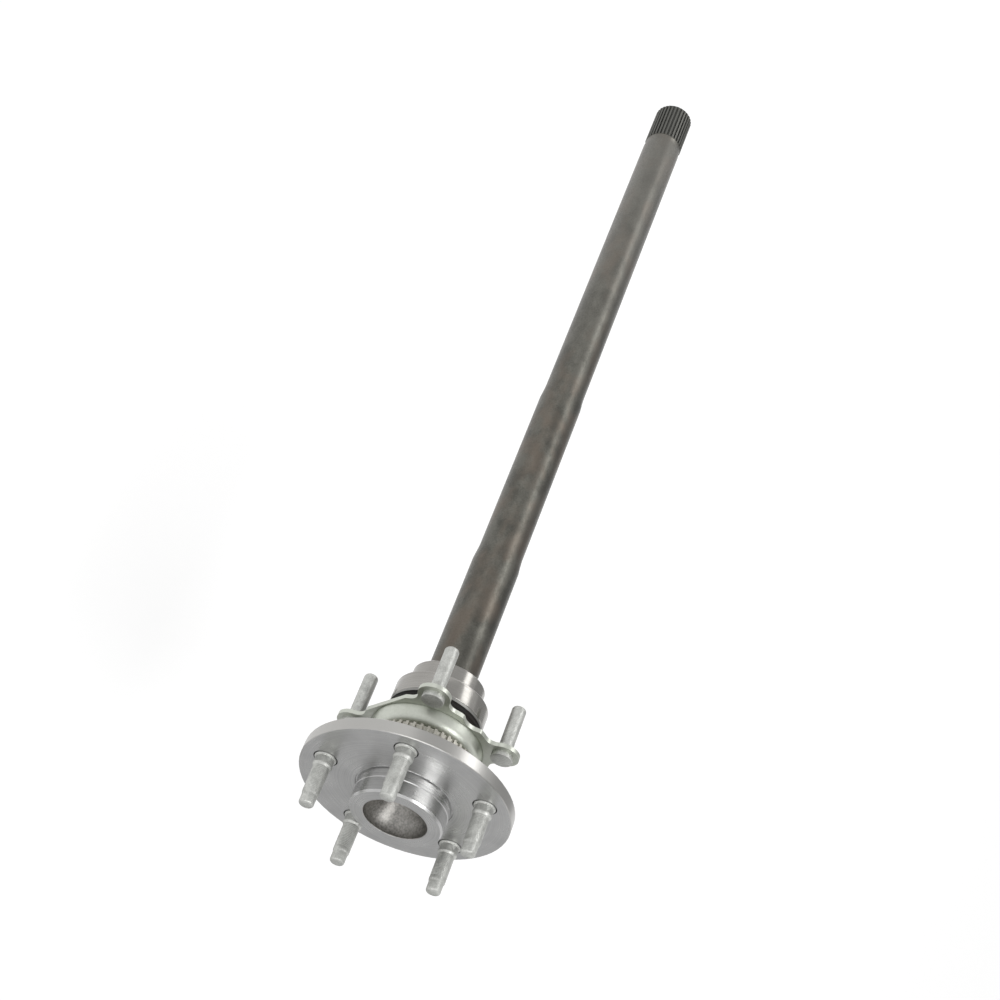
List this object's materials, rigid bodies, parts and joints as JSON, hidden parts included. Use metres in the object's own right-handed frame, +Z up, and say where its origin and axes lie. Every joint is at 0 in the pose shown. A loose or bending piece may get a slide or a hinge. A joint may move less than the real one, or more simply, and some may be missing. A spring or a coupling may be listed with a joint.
{
  "type": "rear axle shaft",
  "caption": "Flanged rear axle shaft with pressed wheel studs, toothed speed ring, stamped bolt-on retainer, oil seal, tapered roller bearing, locking collar and splined inner end.",
  "frame": {"origin": "centre of the wheel mounting face of the flange, on the axle's axis, inside the disc pilot", "axes": "+X along the axle's axis, outboard through the wheel pilot; the splined end lies towards -X; +Z up, with the taller side of the retainer's stud rectangle along Z"},
  "size_m": [0.837, 0.1632, 0.1631],
  "materials": {
    "forged_steel": "forged and turned steel, oiled, dark",
    "stud_steel": "pale matte zinc flake on rolled steel",
    "ring_steel": "sintered steel, pale",
    "plate_steel": "stamped steel, clear zinc plated",
    "case_steel": "pressed sheet steel",
    "rubber": "moulded black nitrile",
    "bearing_steel": "ground bearing steel",
    "cage_steel": "stamped and phosphated steel",
    "spring_steel": "drawn spring wire"
  },
  "bodies": {
    "housing_side": {"retainer_plate": "plate_steel", "retainer_studs": "stud_steel", "seal_case": "case_steel", "housing_seal": "rubber", "oil_seal_lip": "rubber", "garter_spring": "spring_steel", "bearing_cup": "bearing_steel"},
    "axle": {"axle_shaft": "forged_steel", "wheel_studs": "stud_steel", "speed_ring": "ring_steel", "bearing_cone": "bearing_steel", "locking_collar": "bearing_steel"},
    "cage": {"roller_cage": "cage_steel"},
    "roller_1": {"roller_1": "bearing_steel"},
    "roller_2": {"roller_2": "bearing_steel"},
    "roller_3": {"roller_3": "bearing_steel"},
    "roller_4": {"roller_4": "bearing_steel"},
    "roller_5": {"roller_5": "bearing_steel"},
    "roller_6": {"roller_6": "bearing_steel"},
    "roller_7": {"roller_7": "bearing_steel"},
    "roller_8": {"roller_8": "bearing_steel"},
    "roller_9": {"roller_9": "bearing_steel"},
    "roller_10": {"roller_10": "bearing_steel"},
    "roller_11": {"roller_11": "bearing_steel"},
    "roller_12": {"roller_12": "bearing_steel"},
    "roller_13": {"roller_13": "bearing_steel"},
    "roller_14": {"roller_14": "bearing_steel"},
    "roller_15": {"roller_15": "bearing_steel"},
    "roller_16": {"roller_16": "bearing_steel"},
    "roller_17": {"roller_17": "bearing_steel"},
    "roller_18": {"roller_18": "bearing_steel"}
  },
  "joints": [
    {"name": "axle_spin", "type": "hinge", "parent": "housing_side", "child": "axle", "pos_m": [-0.0795, 0, 0], "axis": [1, 0, 0], "continuous": true},
    {"name": "cage_spin", "type": "hinge", "parent": "housing_side", "child": "cage", "pos_m": [-0.0795, 0, 0], "axis": [1, 0, 0], "continuous": true},
    {"name": "roller_1_spin", "type": "hinge", "parent": "cage", "child": "roller_1", "pos_m": [-0.0795, 0, 0.0286], "axis": [0.9744, 0, -0.225], "continuous": true},
    {"name": "roller_2_spin", "type": "hinge", "parent": "cage", "child": "roller_2", "pos_m": [-0.0795, 0.00978, 0.02688], "axis": [0.9744, -0.0769, -0.2114], "continuous": true},
    {"name": "roller_3_spin", "type": "hinge", "parent": "cage", "child": "roller_3", "pos_m": [-0.0795, 0.01838, 0.02191], "axis": [0.9744, -0.1446, -0.1723], "continuous": true},
    {"name": "roller_4_spin", "type": "hinge", "parent": "cage", "child": "roller_4", "pos_m": [-0.0795, 0.02477, 0.0143], "axis": [0.9744, -0.1948, -0.1125], "continuous": true},
    {"name": "roller_5_spin", "type": "hinge", "parent": "cage", "child": "roller_5", "pos_m": [-0.0795, 0.02817, 0.00497], "axis": [0.9744, -0.2215, -0.0391], "continuous": true},
    {"name": "roller_6_spin", "type": "hinge", "parent": "cage", "child": "roller_6", "pos_m": [-0.0795, 0.02817, -0.00497], "axis": [0.9744, -0.2215, 0.0391], "continuous": true},
    {"name": "roller_7_spin", "type": "hinge", "parent": "cage", "child": "roller_7", "pos_m": [-0.0795, 0.02477, -0.0143], "axis": [0.9744, -0.1948, 0.1125], "continuous": true},
    {"name": "roller_8_spin", "type": "hinge", "parent": "cage", "child": "roller_8", "pos_m": [-0.0795, 0.01838, -0.02191], "axis": [0.9744, -0.1446, 0.1723], "continuous": true},
    {"name": "roller_9_spin", "type": "hinge", "parent": "cage", "child": "roller_9", "pos_m": [-0.0795, 0.00978, -0.02688], "axis": [0.9744, -0.0769, 0.2114], "continuous": true},
    {"name": "roller_10_spin", "type": "hinge", "parent": "cage", "child": "roller_10", "pos_m": [-0.0795, 0, -0.0286], "axis": [0.9744, 0, 0.225], "continuous": true},
    {"name": "roller_11_spin", "type": "hinge", "parent": "cage", "child": "roller_11", "pos_m": [-0.0795, -0.00978, -0.02688], "axis": [0.9744, 0.0769, 0.2114], "continuous": true},
    {"name": "roller_12_spin", "type": "hinge", "parent": "cage", "child": "roller_12", "pos_m": [-0.0795, -0.01838, -0.02191], "axis": [0.9744, 0.1446, 0.1723], "continuous": true},
    {"name": "roller_13_spin", "type": "hinge", "parent": "cage", "child": "roller_13", "pos_m": [-0.0795, -0.02477, -0.0143], "axis": [0.9744, 0.1948, 0.1125], "continuous": true},
    {"name": "roller_14_spin", "type": "hinge", "parent": "cage", "child": "roller_14", "pos_m": [-0.0795, -0.02817, -0.00497], "axis": [0.9744, 0.2215, 0.0391], "continuous": true},
    {"name": "roller_15_spin", "type": "hinge", "parent": "cage", "child": "roller_15", "pos_m": [-0.0795, -0.02817, 0.00497], "axis": [0.9744, 0.2215, -0.0391], "continuous": true},
    {"name": "roller_16_spin", "type": "hinge", "parent": "cage", "child": "roller_16", "pos_m": [-0.0795, -0.02477, 0.0143], "axis": [0.9744, 0.1948, -0.1125], "continuous": true},
    {"name": "roller_17_spin", "type": "hinge", "parent": "cage", "child": "roller_17", "pos_m": [-0.0795, -0.01838, 0.02191], "axis": [0.9744, 0.1446, -0.1723], "continuous": true},
    {"name": "roller_18_spin", "type": "hinge", "parent": "cage", "child": "roller_18", "pos_m": [-0.0795, -0.00978, 0.02688], "axis": [0.9744, 0.0769, -0.2114], "continuous": true}
  ],
  "couplings": [
    {"joint": "cage_spin", "follows": "axle_spin", "ratio": 0.44379},
    {"joint": "roller_1_spin", "follows": "axle_spin", "ratio": -4.2786},
    {"joint": "roller_2_spin", "follows": "axle_spin", "ratio": -4.2786},
    {"joint": "roller_3_spin", "follows": "axle_spin", "ratio": -4.2786},
    {"joint": "roller_4_spin", "follows": "axle_spin", "ratio": -4.2786},
    {"joint": "roller_5_spin", "follows": "axle_spin", "ratio": -4.2786},
    {"joint": "roller_6_spin", "follows": "axle_spin", "ratio": -4.2786},
    {"joint": "roller_7_spin", "follows": "axle_spin", "ratio": -4.2786},
    {"joint": "roller_8_spin", "follows": "axle_spin", "ratio": -4.2786},
    {"joint": "roller_9_spin", "follows": "axle_spin", "ratio": -4.2786},
    {"joint": "roller_10_spin", "follows": "axle_spin", "ratio": -4.2786},
    {"joint": "roller_11_spin", "follows": "axle_spin", "ratio": -4.2786},
    {"joint": "roller_12_spin", "follows": "axle_spin", "ratio": -4.2786},
    {"joint": "roller_13_spin", "follows": "axle_spin", "ratio": -4.2786},
    {"joint": "roller_14_spin", "follows": "axle_spin", "ratio": -4.2786},
    {"joint": "roller_15_spin", "follows": "axle_spin", "ratio": -4.2786},
    {"joint": "roller_16_spin", "follows": "axle_spin", "ratio": -4.2786},
    {"joint": "roller_17_spin", "follows": "axle_spin", "ratio": -4.2786},
    {"joint": "roller_18_spin", "follows": "axle_spin", "ratio": -4.2786}
  ]
}
